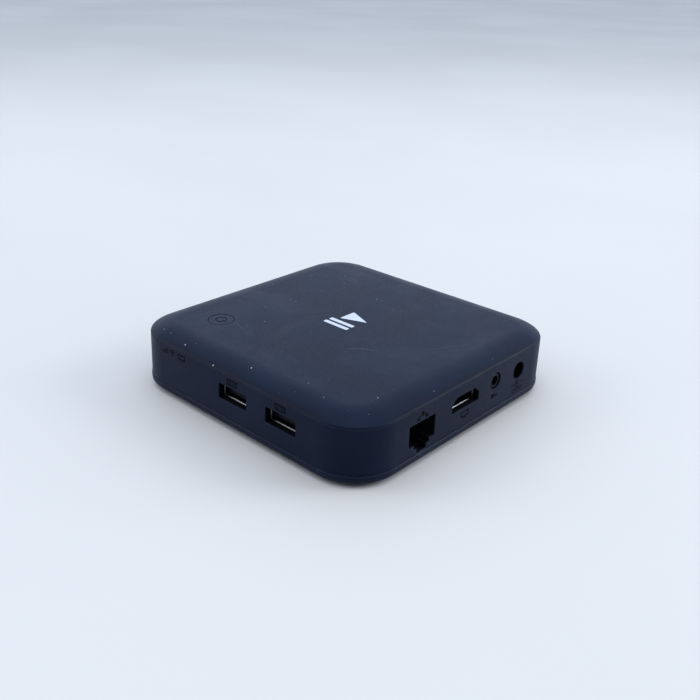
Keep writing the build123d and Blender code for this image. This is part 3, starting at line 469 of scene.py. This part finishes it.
plasticLooks = {
    "shell": {
        "dark": (0.0017, 0.0056, 0.0190), "light": (0.0027, 0.0078, 0.0245), "worn": (0.080, 0.100, 0.140),
        "rough": 0.44, "roughSpread": 0.07, "gloss": 0.10, "grainScale": 2400.0, "bump": 0.30,
        "smudge": 0.07, "scratch": 0.10, "rub": 0.30, "dust": 0.30, "dustScale": 330.0, "dustOpacity": 0.6,
        "cutOut": {
            "wall": 53.0, "fade": 0.3, "flatTo": 36.5, "under": 18.0, "color": (0.0006, 0.0008, 0.0014),
        },
        # painted shade on the crown's rolled edge
        "roll": {
            "top": 21.9, "low": 20.3, "crease": 19.8, "ends": (33.0, 43.0), "amount": 0.75,
            "color": (0.0002, 0.0022, 0.0115),
        },
        "lip": {"levels": (19.62, 19.78, 20.0), "color": (0.012, 0.018, 0.038)},
        "lint": {
            # arcs: middle x, y, radius, half width, then a point on it and how far it reaches from there
            "arcs": [(21.4, 24.8, 10.8, 0.16, (13.0, 18.2), 5.6)],
            "specks": [  # x, y, radius
                (47.8, 3.3, 0.36), (34.6, 43.7, 0.3), (50.8, -26.0, 0.34), (52.6, -9.5, 0.34),
                (16.9, 50.9, 0.2), (49.3, -35.7, 0.2), (-20.1, 4.2, 0.16), (-24.0, 8.0, 0.15),
                (38.5, 36.0, 0.16),
            ],
            "color": (0.30, 0.34, 0.40),
        },
    },
    "base": {
        "dark": (0.0019, 0.0058, 0.0190), "light": (0.0029, 0.0080, 0.0245), "worn": (0.060, 0.078, 0.110),
        "rough": 0.48, "roughSpread": 0.07, "gloss": 0.12, "grainScale": 2000.0, "bump": 0.38,
        "smudge": 0.05, "smudgeScale": 55.0, "scratch": 0.25, "rub": 0.6, "rubWidth": 0.00018,
    },
    "button": {
        "dark": (0.0020, 0.0062, 0.0200), "light": (0.0030, 0.0084, 0.0255), "worn": (0.065, 0.082, 0.115),
        "rough": 0.42, "roughSpread": 0.06, "gloss": 0.10, "grainScale": 2900.0, "bump": 0.18,
        "smudge": 0.12, "smudgeScale": 160.0, "rub": 0.25, "rubWidth": 0.0002,
        "dust": 0.25, "dustScale": 500.0,
        # painted shade in what is cut into the button's top
        "recessShade": {"below": 0.10, "above": 0.04, "color": (0.0008, 0.0009, 0.0012)},
    },
    "port_plastic": {
        "dark": (0.0022, 0.0032, 0.0070), "light": (0.0036, 0.0050, 0.0100), "worn": (0.045, 0.055, 0.075),
        "rough": 0.42, "roughSpread": 0.08, "gloss": 0.14, "grainScale": 3200.0, "bump": 0.15, "rub": 0.35,
        "rubWidth": 0.00012,
    },
    "can_base": {
        "dark": (0.010, 0.010, 0.011), "light": (0.016, 0.016, 0.017), "worn": (0.06, 0.06, 0.06),
        "rough": 0.45, "roughSpread": 0.08, "grainScale": 3000.0, "bump": 0.15,
    },
    "plain_plastic": {
        "dark": (0.56, 0.56, 0.53), "light": (0.66, 0.66, 0.63), "worn": (0.8, 0.8, 0.78),
        "rough": 0.36, "roughSpread": 0.06, "gloss": 0.5, "grainScale": 2600.0, "bump": 0.1, "rub": 0.3,
        "rubWidth": 0.00015,
    },
    "chip": {
        "dark": (0.013, 0.013, 0.014), "light": (0.022, 0.022, 0.023), "worn": (0.09, 0.09, 0.09),
        "rough": 0.55, "roughSpread": 0.1, "gloss": 0.35, "grainScale": 5200.0, "bump": 0.5, "rub": 0.3,
        "rubWidth": 0.00012,
    },
    "foot": {
        "dark": (0.0085, 0.0085, 0.0090), "light": (0.014, 0.014, 0.015), "worn": (0.035, 0.035, 0.036),
        "rough": 0.78, "roughSpread": 0.08, "gloss": 0.25, "grainScale": 1800.0, "bump": 0.5,
        "bumpDepth": 0.00005, "smudge": 0.05, "rub": 0.3,
    },
    "pad": {
        "dark": (0.20, 0.26, 0.34), "light": (0.27, 0.33, 0.42), "worn": (0.4, 0.45, 0.5),
        "rough": 0.6, "roughSpread": 0.1, "gloss": 0.35, "grainScale": 2200.0, "bump": 0.4,
    },
    "ceramic": {
        "dark": (0.20, 0.13, 0.08), "light": (0.34, 0.24, 0.16), "worn": (0.6, 0.6, 0.6),
        "rough": 0.5, "roughSpread": 0.1, "grainScale": 4200.0, "bump": 0.3, "rub": 0.8, "rubWidth": 0.00015,
    },
    "aerial": {
        "dark": (0.016, 0.015, 0.012), "light": (0.026, 0.024, 0.018), "worn": (0.35, 0.25, 0.10),
        "rough": 0.32, "roughSpread": 0.08, "gloss": 0.5, "grainScale": 1500.0, "bump": 0.2, "rub": 0.7,
    },
    "cable": {
        "dark": (0.010, 0.010, 0.011), "light": (0.018, 0.018, 0.020), "worn": (0.06, 0.06, 0.06),
        "rough": 0.42, "roughSpread": 0.08, "grainScale": 2600.0, "bump": 0.25, "smudge": 0.08,
    },
}


# plated, drawn and turned metals
usualMetal = {  # what a look has unless it says otherwise
    "patchScale": 180.0, "stain": 0.12, "rub": 0.5, "rubWidth": 0.00012, "bump": 0.15, "bumpDepth": 0.00002,
}


def workedMetal(name, ownLook):
    look = {**usualMetal, **ownLook}
    material, tree, shader, place = startMaterial(name)
    lines = noise(tree, stretched(tree, place, look["along"]), look["lineScale"], 4.0, 0.6)
    patches = noise(tree, place, look["patchScale"], 4.0, 0.6, 0.8)
    color = blendColors(tree, remap(tree, patches, 0.35, 0.7), look["clean"], look["dull"])
    smoothest, roughest = look["rough"] - look["roughSpread"], look["rough"] + look["roughSpread"]
    rough = remap(tree, lines, 0.3, 0.7, smoothest, roughest)
    stain = remap(tree, patches, 0.58, 0.72, 0.0, look["stain"])
    rough = maths(tree, "ADD", rough, stain, clamp=True)
    rub = useEffect(tree, "edgeRub", place, Amount=look["rub"], Radius=look["rubWidth"])["Mask"]
    color = blendColors(tree, rub, color, look["edge"])
    feed(tree, shader.inputs["Base Color"], color)
    feed(tree, shader.inputs["Roughness"], rough)
    feed(tree, shader.inputs["Metallic"], 1.0)
    addBump(tree, shader, lines, look["bump"], look["bumpDepth"])
    return material


metalLooks = {
    "port_metal": {
        "clean": (0.125, 0.12, 0.117), "dull": (0.078, 0.077, 0.077), "edge": (0.17, 0.164, 0.16),
        "rough": 0.34, "roughSpread": 0.08, "along": (1.0, 1.0, 6.0), "lineScale": 1500.0,
    },
    "contact": {
        "clean": (0.83, 0.60, 0.24), "dull": (0.62, 0.44, 0.18), "edge": (0.95, 0.78, 0.42),
        "rough": 0.24, "roughSpread": 0.07, "along": (1.0, 1.0, 1.0), "lineScale": 2600.0,
        "patchScale": 900.0,
    },
    "pin_metal": {
        "clean": (0.66, 0.66, 0.67), "dull": (0.50, 0.50, 0.50), "edge": (0.85, 0.85, 0.86),
        "rough": 0.16, "roughSpread": 0.05, "along": (1.0, 0.1, 1.0), "lineScale": 2400.0,
        "patchScale": 500.0,
    },
    "screw": {
        "clean": (0.40, 0.41, 0.43), "dull": (0.24, 0.24, 0.25), "edge": (0.62, 0.63, 0.65),
        "rough": 0.34, "roughSpread": 0.09, "along": (1.0, 1.0, 8.0), "lineScale": 1800.0,
        "patchScale": 420.0,
    },
    "sink": {
        "clean": (0.36, 0.37, 0.39), "dull": (0.26, 0.27, 0.29), "edge": (0.60, 0.61, 0.63),
        "rough": 0.38, "roughSpread": 0.10, "along": (9.0, 0.5, 1.0), "lineScale": 700.0, "bump": 0.3,
    },
    "can": {
        "clean": (0.70, 0.71, 0.73), "dull": (0.55, 0.56, 0.58), "edge": (0.85, 0.86, 0.88),
        "rough": 0.28, "roughSpread": 0.08, "along": (1.0, 1.0, 5.0), "lineScale": 1300.0,
    },
    "spring": {
        "clean": (0.58, 0.58, 0.60), "dull": (0.40, 0.40, 0.42), "edge": (0.75, 0.75, 0.77),
        "rough": 0.25, "roughSpread": 0.08, "along": (1.0, 1.0, 1.0), "lineScale": 2600.0,
    },
}


# the circuit board: lacquer over copper tracks, with a fibre weave under it
boardLook = {
    "lacquer": (0.006, 0.045, 0.022), "copper": (0.014, 0.085, 0.040), "pad": (0.55, 0.50, 0.36),
    "trackScale": 420.0, "holeScale": 336.0, "weaveScale": 1500.0, "relief": (0.8, 0.2),
}


def circuitBoard(name, look):
    material, tree, shader, place = startMaterial(name)
    cells = addNode(tree, "ShaderNodeTexVoronoi", feature="F1", distance="CHEBYCHEV")
    wave = addNode(tree, "ShaderNodeTexWave", wave_type="BANDS", bands_direction="X")
    holes = addNode(tree, "ShaderNodeTexVoronoi", feature="F1")
    for pattern, scale in ((cells, "trackScale"), (wave, "trackScale"), (holes, "holeScale")):
        feed(tree, pattern.inputs["Vector"], place)
        feed(tree, pattern.inputs["Scale"], look[scale])
    tracks = remap(tree, cells.outputs["Distance"], 0.36, 0.40)
    runs = remap(tree, wave.outputs["Fac"], 0.55, 0.65)
    zone = remap(tree, noise(tree, place, 60.0, 1.0), 0.5, 0.52)
    copper = times(tree, maths(tree, "ADD", times(tree, runs, zone), tracks, clamp=True), 0.8)
    color = blendColors(tree, copper, look["lacquer"], look["copper"])
    ring = maths(tree, "LESS_THAN", holes.outputs["Distance"], 0.13)
    via = times(tree, ring, maths(tree, "LESS_THAN", splitColor(tree, holes.outputs["Color"])[0], 0.3))
    color = blendColors(tree, via, color, look["pad"])
    weave = noise(tree, place, look["weaveScale"], 2.0)
    copperRise, weaveRise = look["relief"]
    height = maths(tree, "ADD", times(tree, copper, copperRise), times(tree, weave, weaveRise))
    feed(tree, shader.inputs["Base Color"], color)
    feed(tree, shader.inputs["Metallic"], via)
    feed(tree, shader.inputs["Roughness"], remap(tree, weave, 0.3, 0.7, 0.24, 0.36))
    addBump(tree, shader, height, 0.4, 0.00003)
    return material


# the smoked window, the label and the printed marks
lensLook = {"tint": (0.006, 0.003, 0.007), "haze": (0.011, 0.006, 0.012), "rough": 0.09}
labelLook = {
    "film": (0.42, 0.43, 0.45), "shade": (0.34, 0.35, 0.37), "line": (0.06, 0.06, 0.07),
    "start": (0.0, 0.0385, 0.0), "lineWidth": 0.00012, "cellWidth": 0.0118, "cellHeight": 0.0022,
}
markLook = {"ink": (0.52, 0.555, 0.625), "worn": (0.36, 0.40, 0.47), "rough": 0.50, "gloss": 0.3}
glyphLook = {"ink": (0.0010, 0.0012, 0.0018), "worn": (0.003, 0.0035, 0.006), "rough": 0.62, "gloss": 0.02}


def smokedWindow(name, look):
    material, tree, shader, place = startMaterial(name)
    smudge = useEffect(tree, "smudges", place, Scale=110.0)["Mask"]
    scratch = useEffect(tree, "scratches", place, Amount=0.4, Scale=140.0)["Mask"]
    color = blendColors(tree, smudge, look["tint"], look["haze"])
    rough = maths(tree, "ADD", times(tree, smudge, 0.10), look["rough"])
    rough = maths(tree, "ADD", rough, times(tree, scratch, 0.2), clamp=True)
    feed(tree, shader.inputs["Base Color"], color)
    feed(tree, shader.inputs["Roughness"], rough)
    addBump(tree, shader, smudge, 0.05, 0.00002)
    return material


def blankLabel(name, look):
    # a plain film with blank ruled lines, and nothing to read
    material, tree, shader, place = startMaterial(name)
    tone = noise(tree, place, 130.0, 4.0)
    color = blendColors(tree, tone, look["film"], look["shade"])
    start = addNode(tree, "ShaderNodeMapping")
    feed(tree, start.inputs["Vector"], place)
    feed(tree, start.inputs["Location"], look["start"])
    rows = addNode(tree, "ShaderNodeTexBrick", offset=0.0, squash=1.0)
    settings = {
        "Vector": start.outputs["Vector"], "Scale": 1.0, "Mortar Size": look["lineWidth"],
        "Brick Width": look["cellWidth"], "Row Height": look["cellHeight"],
    }
    for label, value in settings.items():
        feed(tree, rows.inputs[label], value)
    color = blendColors(tree, times(tree, rows.outputs["Fac"], 0.85), color, look["line"])
    feed(tree, shader.inputs["Base Color"], color)
    feed(tree, shader.inputs["Roughness"], remap(tree, tone, 0.3, 0.7, 0.36, 0.48))
    addBump(tree, shader, tone, 0.06, 0.00003)
    return material


def printedInk(name, look):
    material, tree, shader, place = startMaterial(name)
    cover = noise(tree, place, 1400.0, 5.0, 0.65)
    thin = remap(tree, cover, 0.52, 0.74)
    smudge = useEffect(tree, "smudges", place, Scale=90.0)["Mask"]
    color = blendColors(tree, times(tree, thin, 0.8), look["ink"], look["worn"])
    color = blendColors(tree, times(tree, smudge, 0.25), color, look["worn"])
    rough = remap(tree, cover, 0.3, 0.7, look["rough"] - 0.06, look["rough"] + 0.08)
    feed(tree, shader.inputs["Base Color"], color)
    feed(tree, shader.inputs["Roughness"], rough)
    feed(tree, shader.inputs["Specular IOR Level"], look["gloss"])
    addBump(tree, shader, cover, 0.15, 0.00001)
    return material


finishes = {slot: mouldedPlastic(slot + "Plastic", look) for slot, look in plasticLooks.items()}
finishes.update({slot: workedMetal(slot + "Metal", look) for slot, look in metalLooks.items()})
finishes["board"] = circuitBoard("boardLacquer", boardLook)
finishes["lens"] = smokedWindow("smokedLens", lensLook)
finishes["label"] = blankLabel("ratingFilm", labelLook)

for part in frame["record"]["subparts"]:
    solid = frame["nodes"][part["node"]]
    solid.data.materials.clear()
    solid.data.materials.append(finishes[part["material_slot"]])


# printed marks: flat shapes lifted into thin pads of ink
inkDepth = 0.014 * mm
arcSteps = 14


def roundCorners(bm, corners, radius, steps):
    bmesh.ops.bevel(
        bm, geom=corners, offset=radius, affect="VERTICES", segments=steps, profile=0.5, material=-1,
    )


def addBar(bm, x, y, width, height, corner=0.0):
    place = Matrix.Translation((x, y, 0)) @ Matrix.Diagonal((width, height, 1, 1))
    made = bmesh.ops.create_grid(bm, x_segments=1, y_segments=1, size=0.5, matrix=place)["verts"]
    if corner:
        roundCorners(bm, made, corner, 4)


def addArc(bm, x, y, radius, width, start, end):
    middle, spoke = Vector((x, y, 0)), Matrix.Rotation(radians(start), 4, "Z")
    reaches = (radius - width / 2, radius + width / 2)
    ends = [bm.verts.new(spoke @ Vector((reach, 0, 0)) + middle) for reach in reaches]
    bmesh.ops.spin(
        bm, geom=ends + [bm.edges.new(ends)], cent=middle, axis=(0, 0, 1), angle=radians(end - start),
        steps=arcSteps, use_merge=False, use_duplicate=False,
    )


def addDisc(bm, x, y, radius, sides=28, stretch=1.0, corner=0.0):
    place = Matrix.Translation((x, y, 0)) @ Matrix.Diagonal((1, stretch, 1, 1))
    made = bmesh.ops.create_circle(bm, cap_ends=True, segments=sides, radius=radius, matrix=place)["verts"]
    if corner:
        roundCorners(bm, made, corner, 5)


def addFrame(bm, x, y, width, height, line):
    for side in (-1, 1):
        addBar(bm, x + side * (width - line) / 2, y, line, height)
        addBar(bm, x, y + side * (height - line) / 2, width - 2 * line, line)


def printMark(name, draw, place, finish):
    bm = bmesh.new()
    draw(bm)
    bmesh.ops.recalc_face_normals(bm, faces=bm.faces[:])
    raised = bmesh.ops.extrude_face_region(bm, geom=bm.faces[:])["geom"]
    lifted = [v for v in raised if isinstance(v, bmesh.types.BMVert)]
    bmesh.ops.translate(bm, verts=lifted, vec=(0, 0, inkDepth))
    bmesh.ops.recalc_face_normals(bm, faces=bm.faces[:])
    bmesh.ops.transform(bm, matrix=place, verts=bm.verts[:])
    mesh = bpy.data.meshes.new(name)
    bm.to_mesh(mesh)
    bm.free()
    mesh.materials.append(finish)
    piece = addObject(name, mesh)
    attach(piece, "housing")


# the mark on the crown: play and pause, the signs on any media player
crownMark = {
    "middle": (-0.6, -0.75), "tall": 10.8, "corner": 0.45,
    "triangle": (-6.0, 0.4), "bars": (2.3, 5.2), "barWidth": 1.75,
}


def drawCrownMark(bm):
    start, tip = crownMark["triangle"]
    radius = (tip - start) / 1.5  # of the circle through the corners of an even triangle
    wide = crownMark["tall"] / (radius * 3 ** 0.5)
    addDisc(bm, (start + radius / 2) * mm, 0, radius * mm, 3, stretch=wide, corner=crownMark["corner"] * mm)
    for x in crownMark["bars"]:
        width, height = crownMark["barWidth"] * mm, crownMark["tall"] * mm
        addBar(bm, x * mm, 0, width, height, corner=crownMark["corner"] * mm)


# signs over the sockets, in millimetres on the wall, each drawn round its own middle
signLine = 0.42


def addStrokes(bm, strokes):
    # each stroke: middle x, middle y, width, height
    for x, y, width, height in strokes:
        addBar(bm, x * mm, y * mm, width * mm, height * mm)


def drawPlugSign(bm):
    addFrame(bm, 0, 0, 4.6 * mm, 2.1 * mm, signLine * mm)
    addStrokes(bm, [(-0.9, 0.0, 0.65, 0.65), (0.9, 0.0, 0.65, 0.65)])


def drawNetworkSign(bm):
    addStrokes(bm, [(x, y, 1.5, 0.8) for x, y in ((0, 0.8), (-1.9, -0.8), (1.9, -0.8))])
    addStrokes(bm, [(x, y, 0.34, 0.4) for x, y in ((0, 0.25), (-1.9, -0.25), (1.9, -0.25))])
    addStrokes(bm, [(0, 0, 4.14, 0.34)])


def drawScreenSign(bm):
    addFrame(bm, 0, 0.35 * mm, 4.4 * mm, 2.0 * mm, signLine * mm)
    addStrokes(bm, [(0, -1.1, 2.2, 0.38)])


def drawJackSign(bm):
    # a plug seen from its side: a grip and three rings
    rings = ((-1.2, 1.3, 1.5), (0.1, 0.9, 0.8), (0.95, 0.4, 0.8), (1.6, 0.5, 0.8))
    addStrokes(bm, [(x, 0.0, width, height) for x, width, height in rings])


def drawPolaritySign(bm):
    addDisc(bm, 0, 0, 0.5 * mm)
    addArc(bm, 0, 0, 1.25 * mm, 0.36 * mm, 40, 320)
    for side in (-1, 1):
        addStrokes(bm, [(side * 1.95, 0.0, 1.0, 0.32), (side * 3.1, 0.0, 1.0, 0.34)])
    addStrokes(bm, [(3.1, 0.0, 0.34, 1.0)])


def drawCurrentSign(bm):
    addStrokes(bm, [(0, 0.5, 6.2, 0.42)])
    addStrokes(bm, [(x, -0.45, 1.6, 0.42) for x in (-2.3, 0, 2.3)])


def drawWirelessSign(bm):
    # signal steps, radio waves and a plain screen in one row
    steps = ((-5.6, 0.7), (-4.55, 1.3), (-3.5, 1.9))
    addStrokes(bm, [(x, -0.95 + tall / 2, 0.6, tall) for x, tall in steps])
    addDisc(bm, -0.6 * mm, -0.75 * mm, 0.36 * mm)
    for radius in (1.0, 1.75):
        addArc(bm, -0.6 * mm, -0.75 * mm, radius * mm, 0.36 * mm, 40, 140)
    addFrame(bm, 4.4 * mm, 0, 3.8 * mm, 2.0 * mm, signLine * mm)


wallSet = {  # the outside of the side walls, which lean in from seam to crown
    "half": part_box("top_cover")[1].x / mm, "lean": 0.27, "fromHeight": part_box("top_cover")[0].z / mm + 0.15,
    "toHeight": 19.56,
}

signs = [  # name, wall, place along the wall, height, drawing
    ("dataSign1", "right", 0.0, 17.7, drawPlugSign),
    ("dataSign2", "right", 21.7, 17.7, drawPlugSign),
    ("wirelessSign", "right", -29.8, 17.6, drawWirelessSign),
    ("networkSign", "rear", 24.6, 17.2, drawNetworkSign),
    ("screenSign", "rear", 2.2, 8.7, drawScreenSign),
    ("jackSign", "rear", -14.5, 9.2, drawJackSign),
    ("polaritySign", "rear", -28.6, 8.7, drawPolaritySign),
    ("currentSign", "rear", -28.8, 6.2, drawCurrentSign),
]


def wallPlace(wall, along, height, settings):
    # a frame on the leaning wall: x along it as one reads, y up it, z out of it
    rise = settings["toHeight"] - settings["fromHeight"]
    out = settings["half"] - settings["lean"] * (height - settings["fromHeight"]) / rise
    slope = settings["lean"] / rise
    if wall == "rear":
        x, y, place = Vector((-1, 0, 0)), Vector((0, -slope, 1)).normalized(), (along, out, height)
    else:
        x, y, place = Vector((0, 1, 0)), Vector((-slope, 0, 1)).normalized(), (out, along, height)
    z = x.cross(y)
    return Matrix.Translation(Vector(place) * mm) @ Matrix((x, y, z)).transposed().to_4x4()


whiteInk = printedInk("whiteInk", markLook)
darkInk = printedInk("darkInk", glyphLook)
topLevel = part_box("top_cover")[1].z
crownPlace = Matrix.Translation((crownMark["middle"][0] * mm, crownMark["middle"][1] * mm, topLevel))
printMark("crownMark", drawCrownMark, crownPlace, whiteInk)
for name, wall, along, height, draw in signs:
    printMark(name, draw, wallPlace(wall, along, height, wallSet), darkInk)
print("marks printed:", len(signs) + 1)


# the floor
floorLook = {
    "pale": (0.592, 0.574, 0.548), "cool": (0.574, 0.558, 0.534), "rough": 0.55, "roughSpread": 0.1,
    "gloss": 0.25, "cloudScale": 4.0,
    "far": (0.35, 1.25, 0.80),  # painted falloff of light: from, to, and how bright it still is there
    "dust": 0.06, "dustScale": 120.0, "dustOpacity": 0.12, "dustColor": (0.35, 0.38, 0.44),
    "reach": 14.0, "inset": 17.0, "corner": 10.0,  # reach in metres, the opening in millimetres
}


def floorSheet(look):
    # a wide round sheet, open under the box so that light reaches its underside from below
    bm = bmesh.new()
    hole = (cadHigh.x - cadLow.x) - 2 * look["inset"] * mm
    inner = bmesh.ops.create_grid(bm, x_segments=1, y_segments=1, size=hole / 2)["verts"]
    roundCorners(bm, inner, look["corner"] * mm, 15)
    bmesh.ops.delete(bm, geom=bm.faces[:], context="FACES_ONLY")
    bmesh.ops.create_circle(bm, segments=len(bm.verts), radius=look["reach"])
    bmesh.ops.bridge_loops(bm, edges=bm.edges[:])
    bmesh.ops.recalc_face_normals(bm, faces=bm.faces[:])
    if bm.faces[0].normal.z < 0:
        bmesh.ops.reverse_faces(bm, faces=bm.faces[:])
    mesh = bpy.data.meshes.new("studioFloor")
    bm.to_mesh(mesh)
    bm.free()
    return mesh


def tableTop(name, look):
    material, tree, shader, place = startMaterial(name)
    cloud = noise(tree, place, look["cloudScale"], 3.0)
    color = blendColors(tree, remap(tree, cloud, 0.3, 0.7), look["pale"], look["cool"])
    start, end, left = look["far"]
    # painted shade: the table's colour darkens away from the box, standing in for the light falling off
    paintedFalloff = remap(tree, spanTo(tree, place, (0, 0)), start, end, 0.0, 1.0 - left)
    color = blendColors(tree, paintedFalloff, color, (0, 0, 0))
    dust = useEffect(tree, "dust", place, Amount=look["dust"], Scale=look["dustScale"])["Mask"]
    color = blendColors(tree, times(tree, dust, look["dustOpacity"]), color, look["dustColor"])
    rough = remap(tree, cloud, 0.3, 0.7, look["rough"], look["rough"] + look["roughSpread"])
    feed(tree, shader.inputs["Base Color"], color)
    feed(tree, shader.inputs["Roughness"], rough)
    feed(tree, shader.inputs["Specular IOR Level"], look["gloss"])
    # clear from below
    under = addNode(tree, "ShaderNodeMixShader")
    feed(tree, under.inputs[0], addNode(tree, "ShaderNodeNewGeometry").outputs["Backfacing"])
    feed(tree, under.inputs[1], shader.outputs[0])
    feed(tree, under.inputs[2], addNode(tree, "ShaderNodeBsdfTransparent").outputs[0])
    feed(tree, tree.nodes["Material Output"].inputs["Surface"], under.outputs[0])
    return material


floor = addObject("studioFloor", floorSheet(floorLook))
floor.location.z = cadLow.z
floor.data.materials.append(tableTop("paleTable", floorLook))
print("floor laid")
